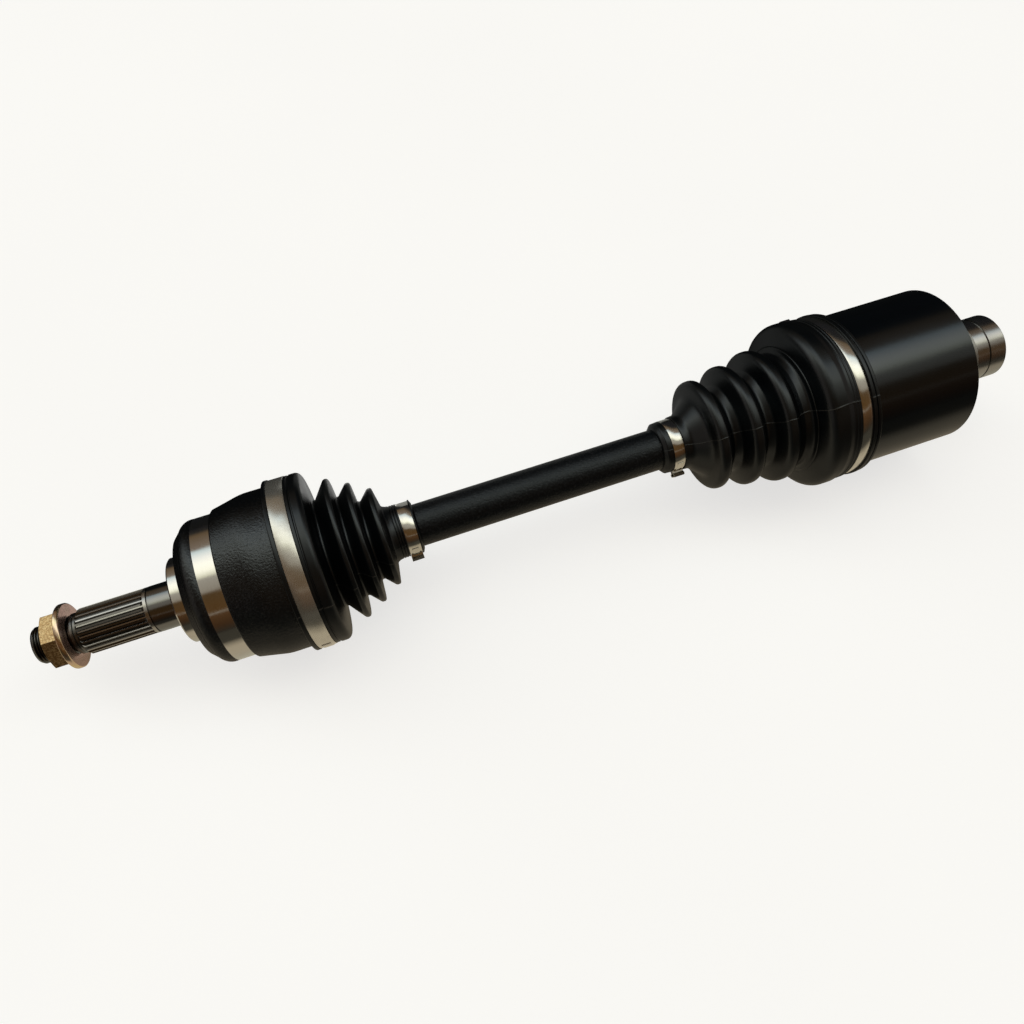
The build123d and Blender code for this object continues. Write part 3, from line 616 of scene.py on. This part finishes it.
def forged_housing():
    """Rough paint on the bell, bright steel seat and band, ground journal, splines with painted shade in their
    roots and a painted highlight on their worn crests, and a dark thread that is lighter towards its crests.
    """
    mat = Material("forged_housing")
    x, r = mat.axial()
    rough, normal = steel_finish(mat, 0.16)
    along = mat.math("POWER", mat.math("SUBTRACT", x, BEND_X["wheel_bend"]), 2.0)
    from_joint = mat.math("SQRT", mat.math("ADD", along, mat.math("MULTIPLY", r, r)))
    hollow = mat.both(mat.below(from_joint, HOLLOW_R), mat.within(x, *HOLLOW_X))
    band = mat.both(mat.within(x, *BAND_X), mat.above(r, BAND_R))
    seat = mat.both(mat.within(x, *SEAT_X), mat.below(r, SEAT_R))
    stub = mat.below(x, SPLINE_END_X)
    bare = mat.either(mat.either(hollow, band), mat.either(seat, stub))
    shade = mat.colours(mat.below(x, JOURNAL_END_X), BRIGHT_STEEL, GROUND_STEEL)
    # The splines get painted shade in their roots, and their worn crests are lighter, partly as a painted
    # highlight.
    shade = mat.colours(stub, shade, mat.colours(mat.fade_in(r, *SPLINE_CREST_R), SPLINE_ROOT_SHADE, SPLINE_CREST_WEAR_AND_HIGHLIGHT))
    # The thread is dark, and lighter towards its crests.
    thread = mat.colours(mat.spread(r, *THREAD_CREST_R, 0.0, 0.6), DARK_THREAD, GROUND_STEEL)
    shade = mat.colours(mat.below(x, THREAD_END_X), shade, thread)
    stains = mat.spread(mat.noise(11, 4.0, 0.65), 0.55, 0.8, 0.0, 0.2)
    shade = mat.colours(stains, shade, STUB_STAIN)
    rough = mat.math("ADD", rough, mat.part_of(stub, 0.10))
    rough = mat.math("ADD", rough, mat.part_of(hollow, 0.12))
    return paint_over_steel(mat, bare, powder_grain(mat, 0.20), (shade, rough, normal), BELL_SHEEN, 0.62)


def black_bar():
    """The bar's fine-grained paint, with bare splined ends."""
    mat = Material("black_bar")
    x, _ = mat.axial()
    steel = (GROUND_STEEL, *steel_finish(mat, 0.2))
    middle = (BEND_X["wheel_bend"] + BEND_X["gearbox_bend"]) / 2
    from_middle = mat.math("ABSOLUTE", mat.math("SUBTRACT", x, middle))
    bare = mat.above(from_middle, middle - BEND_X["wheel_bend"] - BAR_BARE_END)
    return paint_over_steel(mat, bare, powder_grain(mat, 0.28), steel, BAR_SHEEN, 0.35)


def can_paint():
    """Smooth satin paint on the can, bare steel on its end face, on the collar and inside."""
    mat = Material("can_paint")
    x, r = mat.axial()
    rough, normal = steel_finish(mat, 0.22)
    hollow = mat.both(mat.below(r, CAN_HOLLOW_R), mat.within(x, *CAN_HOLLOW_X))
    mouth = mat.below(x, CAN_MOUTH_X)
    end_face = mat.both(mat.above(x, CAN_END_X - CAN_END_EDGE), mat.below(r, CAN_END_R))
    collar = mat.either(mat.above(x, CAN_END_X), end_face)
    bare = mat.either(mat.either(hollow, mouth), collar)
    stains = mat.spread(mat.noise(14, 4.0, 0.65), 0.55, 0.8, 0.0, 0.2)
    shade = mat.colours(stains, COLLAR_STEEL, COLLAR_STAIN)
    # A paler, rougher band runs round the collar next to the can's end.
    ring = mat.within(x, CAN_END_X, RING_END_X)
    shade = mat.colours(ring, shade, COLLAR_PALE_BAND)
    rough = mat.math("ADD", rough, mat.blend(ring, 0.11, 0.4))
    return paint_over_steel(mat, bare, smooth_paint(mat), (shade, rough, normal), CAN_SHEEN, 0.45)


def boot_rubber():
    """Satin black rubber: soft sheen, mould texture, a little dust, and a painted highlight along the mould seams.
    """
    mat = Material("boot_rubber")
    skin = mat.noise(0.55, 3.0, 0.6)
    waves = mat.noise(6.5, 2.0, 0.5)
    patches = mat.noise(30, 4.0, 0.6)
    relief = mat.math("ADD", mat.part_of(skin, 0.35), waves)
    specks = mat.fade_in(mat.noise(0.42, 2.0, 0.5), 0.71, 0.78)
    colour = mat.colours(mat.fade_in(patches, 0.35, 0.7), RUBBER_BLACK, RUBBER_GREY)
    colour = mat.colours(mat.part_of(specks, 0.14), colour, RUBBER_SPECK)
    seam = mat.add("ShaderNodeAttribute", attribute_name="seam").outputs["Fac"]
    seam_highlight_share = mat.spread(mat.noise(2.4, 3.0, 0.6), 0.35, 0.65, 0.3, 1.0)
    # A painted highlight runs along the mould seams, broken up by noise.
    colour = mat.colours(mat.both(seam, seam_highlight_share), colour, SEAM_HIGHLIGHT)
    mat.darken_edges(0.5)
    return mat.finish(
        Base_Color=colour,
        Roughness=mat.spread(patches, 0.3, 0.7, 0.27, 0.38),
        Specular_IOR_Level=RUBBER_SHEEN,
        Specular_Tint=COOL,
        Normal=mat.bump(relief, 0.045, 0.5),
    )


CLAMP_BRIGHT = (0.62, 0.615, 0.575)
CLAMP_DULL = (0.53, 0.52, 0.48)
NUT_GOLD = (0.40, 0.26, 0.12)
NUT_BROWN = (0.30, 0.185, 0.085)
NUT_SPARKLE = (0.66, 0.50, 0.27)
WASHER_YELLOW = (0.70, 0.57, 0.33)
WASHER_PINK = (0.66, 0.50, 0.38)
WASHER_GREEN = (0.52, 0.56, 0.40)
WASHER_FACE = (0.60, 0.40, 0.34)
WASHER_FACE_BROWN = (0.50, 0.36, 0.29)
GREASE = (0.10, 0.075, 0.045)


def clamp_steel():
    """Bright rolled stainless band with fine lines along it. The widest band is duller than the others."""
    mat = Material("clamp_steel")
    lines = mat.turning_lines(0.11)
    smears = mat.noise(7, 4.0, 0.6)
    tone = mat.fade_in(smears, 0.35, 0.7)
    x, _ = mat.axial()
    widest = mat.below(x, span("outer_boot_large_clamp")[1] + 1)
    polish = mat.spread(lines, 0.3, 0.7, 0.12, 0.20)
    polish = mat.math("ADD", polish, mat.spread(smears, 0.4, 0.7, 0.0, 0.03))
    return mat.finish(
        Base_Color=mat.colours(tone, CLAMP_BRIGHT, CLAMP_DULL),
        Metallic=mat.blend(widest, 1.0, 0.86),
        Roughness=mat.math("ADD", polish, mat.part_of(widest, 0.09)),
        Anisotropic=0.6,
        Anisotropic_Rotation=0.25,
        Tangent=mat.round_grain(),
        Normal=mat.bump(lines, 0.010, 0.45),
    )


def zinc_nut():
    """Tan-gold zinc plate with the sparkle of a blasted surface."""
    mat = Material("zinc_gold")
    sparkle = mat.noise(1.0, 2.0, 0.75)
    blotch = mat.noise(4.5, 3.0, 0.6)
    colour = mat.colours(mat.fade_in(blotch, 0.35, 0.65), NUT_GOLD, NUT_BROWN)
    colour = mat.colours(mat.spread(sparkle, 0.46, 0.60, 0.0, 0.9), colour, NUT_SPARKLE)
    return mat.finish(
        Base_Color=colour,
        Metallic=1.0,
        Roughness=mat.spread(sparkle, 0.3, 0.7, 0.26, 0.42),
        Normal=mat.bump(sparkle, 0.35, 0.8),
    )


def zinc_washer():
    """Bright yellow-passivated rim, with a pink and green cast in places, and duller pink faces."""
    mat = Material("zinc_yellow")
    cast = mat.noise(6, 3.0, 0.55)
    lines = mat.turning_lines(0.3)
    normal = mat.add("ShaderNodeNewGeometry").outputs["Normal"]
    tilt = mat.add("ShaderNodeSeparateXYZ", {0: normal}).outputs[0]
    face = mat.above(mat.math("ABSOLUTE", tilt), 0.9)
    colour = mat.colours(mat.fade_in(cast, 0.35, 0.55), WASHER_YELLOW, WASHER_PINK)
    colour = mat.colours(mat.spread(cast, 0.56, 0.72, 0.0, 0.4), colour, WASHER_GREEN)
    dull = mat.colours(mat.fade_in(cast, 0.4, 0.7), WASHER_FACE, WASHER_FACE_BROWN)
    rough = mat.spread(mat.noise(2.2, 4.0, 0.6), 0.3, 0.7, 0.14, 0.26)
    return mat.finish(
        Base_Color=mat.colours(face, colour, dull),
        Metallic=mat.blend(face, 1.0, 0.85),
        Roughness=mat.math("ADD", rough, mat.part_of(face, 0.06)),
        Normal=mat.bump(lines, 0.01, 0.4),
    )


def hidden_steel(name, colour, low_rough, high_rough, grain_mm):
    """Hardened steel of the pieces inside the joints, with a thin smear of grease."""
    mat = Material(name)
    grease = mat.noise(5, 4.0, 0.6)
    grain = mat.noise(grain_mm, 3.0, 0.6)
    smeared = mat.spread(grease, 0.5, 0.68, 0.0, 0.7)
    return mat.finish(
        Base_Color=mat.colours(smeared, colour, GREASE),
        Metallic=mat.blend(smeared, 1.0, 0.4),
        Roughness=mat.blend(mat.fade_in(grain, 0.3, 0.7), low_rough, high_rough),
        Normal=mat.bump(grain, 0.012, 0.5),
    )


FINISHES = {
    "forged_housing": forged_housing,
    "can_paint": can_paint,
    "black_bar": black_bar,
    "boot_rubber": boot_rubber,
    "clamp_steel": clamp_steel,
    "zinc_yellow": zinc_washer,
    "zinc_gold": zinc_nut,
}
HIDDEN_STEELS = {  # colour, least and most roughness, grain in mm
    "bearing_steel": ((0.48, 0.47, 0.46), 0.18, 0.30, 0.5),
    "cage_steel": ((0.20, 0.195, 0.19), 0.30, 0.45, 0.8),
    "ball_steel": ((0.78, 0.775, 0.77), 0.06, 0.12, 2.0),
    "spring_steel": ((0.16, 0.155, 0.16), 0.28, 0.40, 0.6),
    "plated_cap": ((0.58, 0.58, 0.55), 0.22, 0.34, 0.9),
}


def finish_everything(boots):
    """Gives every CAD node the finish of its material slot, and the boots their rubber."""
    made = {slot: make() for slot, make in FINISHES.items()}
    for slot, settings in HIDDEN_STEELS.items():
        made[slot] = hidden_steel(slot, *settings)
    for row in frame["record"]["subparts"]:
        dress(frame["nodes"][row["node"]], made[row["material_slot"]])
    for boot in boots:
        dress(boot, made["boot_rubber"])


def dress(piece, material):
    """Puts one material on a whole piece."""
    if piece.data.materials:
        for slot in piece.material_slots:
            slot.material = material
    else:
        piece.data.materials.append(material)


WELD_MM = 0.002
SHARP_ANGLE = math.radians(32)
EDGE_WIDTHS = {  # mm
    "outer_boot_large_clamp": 0.18,
    "outer_boot_small_clamp": 0.18,
    "inner_boot_large_clamp": 0.18,
    "inner_boot_small_clamp": 0.18,
    "hub_nut": 0.35,
    "hub_washer": 0.2,
}


def soften_edges():
    """Rounds some CAD nodes' sharp edges a little, so that they catch the light."""
    for name, width_mm in EDGE_WIDTHS.items():
        node = frame["nodes"][name]
        weld = node.modifiers.new("weld", "WELD")
        weld.merge_threshold = WELD_MM * MM
        bevel = node.modifiers.new("soft_edges", "BEVEL")
        bevel.width = width_mm * MM
        bevel.segments = 2
        bevel.limit_method = "ANGLE"
        bevel.angle_limit = SHARP_ANGLE


# ---------------------------------------------------------------- stage

FLOOR_SIZE = 9.0  # m
FLOOR_GLOW = 0.72
FLOOR_CLOUD = (0.40, 0.40, 0.395), (0.42, 0.42, 0.415)
PALE = (0.965, 0.965, 0.96)

# The floor as reflections see it. Places are in m, along the axle or behind it.
NEAR_EDGE = -0.22, -0.13
AXLE_EDGE = -0.02, 0.03
NEAR_GLOW = (0.56, 0.48, 0.35)
UNDER_GLOW = (0.062, 0.057, 0.044)
BEHIND_GLOW = (0.012, 0.012, 0.012)
BAR_GLOW = (0.34, 0.34, 0.32)
BAR_START = 0.08, 0.13
BAR_END = 0.34, 0.40
BAR_EDGE = 0.02, 0.05
CARDS = (  # (along, behind, colour)
    ((-0.09, -0.024), (0.01, 0.055), (0.62, 0.56, 0.50)),  # by the stub
    ((0.094, 0.126), (0.045, 0.12), (1.5, 1.5, 1.45)),  # by the outer boot
)

SKY_STRENGTH = 2.0
ENDWAYS = (0.20, 0.165, 0.14)  # the sky off the axle's two ends
RIGHT_TURN = 0.84  # radians by which the sky is turned back at the right
RIGHT_TURN_LOSS = 0.31  # how much less it is for each radian from the horizon behind
LEFT_TURN = 0.6  # radians by which it is turned forward at the left
SKY_STOPS = (  # (degrees from behind the axle, over it, to in front, colour)
    (0, (0.008, 0.008, 0.009)),
    (10, (0.016, 0.015, 0.014)),
    (17, (0.090, 0.062, 0.036)),
    (44, (0.145, 0.115, 0.090)),
    (49, (0.48, 0.57, 0.60)),
    (60, (0.74, 0.76, 0.74)),
    (70, (0.92, 0.92, 0.84)),
    (82, (0.90, 0.90, 0.78)),
    (90, (0.58, 0.58, 0.46)),
    (94, (0.25, 0.235, 0.205)),
    (113, (0.205, 0.186, 0.155)),
    (117, (0.058, 0.034, 0.014)),
    (146, (0.066, 0.034, 0.012)),
    (148, (0.20, 0.18, 0.15)),
    (150, (0.060, 0.030, 0.012)),
    (168, (0.036, 0.018, 0.008)),
    (180, (0.021, 0.017, 0.012)),
)


def reflected_floor(mat):
    """The floor's colour in reflections: warm in front of the axle, dark behind it, and light in patches."""
    along, behind, _ = mat.add("ShaderNodeSeparateXYZ", {0: mat.place}).outputs
    near = mat.both(mat.fade_in(behind, *NEAR_EDGE), mat.fade_out(behind, *AXLE_EDGE))
    colour = mat.colours(mat.fade_in(behind, *AXLE_EDGE), UNDER_GLOW, BEHIND_GLOW)
    by_bar = mat.both(mat.fade_in(along, *BAR_START), mat.fade_out(along, *BAR_END))
    colour = mat.colours(mat.both(by_bar, mat.fade_in(behind, *BAR_EDGE)), colour, BAR_GLOW)
    for card_along, card_behind, card_colour in CARDS:
        card = mat.both(mat.within(along, *card_along), mat.within(behind, *card_behind))
        colour = mat.colours(card, colour, card_colour)
    return mat.colours(near, colour, NEAR_GLOW)


def pale_stage(level):
    """A floor that is plain and pale to the camera. Reflections see another one, tuned to the photo."""
    mesh = bpy.data.meshes.new("floor")
    half = FLOOR_SIZE / 2
    corners = [(-half, -half, level), (half, -half, level), (half, half, level), (-half, half, level)]
    mesh.from_pydata(corners, [], [(0, 1, 2, 3)])
    floor = bpy.data.objects.new("floor", mesh)
    bpy.context.scene.collection.objects.link(floor)
    floor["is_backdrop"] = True
    mat = Material("pale_floor")
    pale = mat.colours(mat.fade_in(mat.noise(300, 2.0, 0.5), 0.3, 0.7), *FLOOR_CLOUD)
    mat.finish(Base_Color=pale, Roughness=0.8, Emission_Color=(*PALE, 1.0), Emission_Strength=FLOOR_GLOW)
    glow = mat.add("ShaderNodeEmission", {0: reflected_floor(mat), 1: 1.0}).outputs[0]
    direct = mat.add("ShaderNodeLightPath").outputs["Is Camera Ray"]
    mat.show(mat.mixed(direct, glow, mat.surface.outputs[0]))
    mesh.materials.append(mat.block)


def studio_sky():
    """A long softbox above and behind the axle, in a brown room. The camera sees a plain pale background."""
    sky = Graph(bpy.data.worlds.new("studio"))
    bpy.context.scene.world = sky.block
    generated = sky.add("ShaderNodeTexCoord").outputs["Generated"]
    view = sky.add("ShaderNodeSeparateXYZ", {0: generated}).outputs
    angle = sky.math("ARCTAN2", view[2], view[1])
    right = sky.fade_in(view[0], 0.05, 0.35)
    right_turn = sky.math("SUBTRACT", RIGHT_TURN, sky.part_of(angle, RIGHT_TURN_LOSS))
    right_turn = sky.math("MAXIMUM", right_turn, 0.0)
    left_turn = sky.spread(view[0], -0.25, -0.6, 0.0, LEFT_TURN)
    turned = sky.math("ADD", sky.math("SUBTRACT", angle, sky.math("MULTIPLY", right, right_turn)), left_turn)
    stops = [(degrees / 180, colour) for degrees, colour in SKY_STOPS]
    round_axle = sky.ramp(sky.fade_in(turned, 0.0, math.pi), stops)
    endways = sky.fade_in(sky.math("ABSOLUTE", view[0]), 0.72, 0.9)
    room = sky.colours(endways, round_axle, ENDWAYS)
    direct = sky.add("ShaderNodeLightPath").outputs["Is Camera Ray"]
    background = sky.tree.nodes["Background"]
    pale = tuple(part / SKY_STRENGTH for part in PALE)
    sky.set(background.inputs["Color"], sky.colours(direct, room, pale))
    sky.set(background.inputs["Strength"], SKY_STRENGTH)


# ---------------------------------------------------------------- camera

CAMERA_ELEVATION = math.radians(65.4)
CAMERA_AZIMUTH = math.radians(19.5)
CAMERA_DISTANCE = 0.498  # m
CAMERA_AIM_X = 0.2014
CAMERA_AIM_DROP = 0.0099
CAMERA_CLIP = 0.01, 100
LENS_MM = 28.125
SENSOR_MM = 36


def photo_camera():
    """Looks down on the axle from in front, from nearer its wheel end."""
    sideways = math.sin(CAMERA_AZIMUTH)
    forward = math.cos(CAMERA_AZIMUTH)
    level = math.cos(CAMERA_ELEVATION)
    back = Vector((-sideways * level, -forward * level, math.sin(CAMERA_ELEVATION)))
    right = Vector((forward, -sideways, 0))
    up = back.cross(right)
    axle = Vector((1, 0, 0))
    across = up - axle * up.dot(axle)
    aim = Vector((CAMERA_AIM_X, 0, 0)) - across.normalized() * CAMERA_AIM_DROP
    lens = bpy.data.cameras.new("camera")
    lens.lens = LENS_MM
    lens.sensor_width = SENSOR_MM
    lens.clip_start, lens.clip_end = CAMERA_CLIP
    holder = bpy.data.objects.new("camera", lens)
    bpy.context.scene.collection.objects.link(holder)
    turn = Matrix((right, up, back)).transposed().to_4x4()
    holder.matrix_world = Matrix.Translation(aim + back * CAMERA_DISTANCE) @ turn
    bpy.context.scene.camera = holder


# ---------------------------------------------------------------- everything

boots = [outer_boot(), *inner_boot()]
finish_everything(boots)
soften_edges()
pale_stage(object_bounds()[0].z)
studio_sky()
photo_camera()
bpy.context.scene.view_settings.view_transform = "Standard"
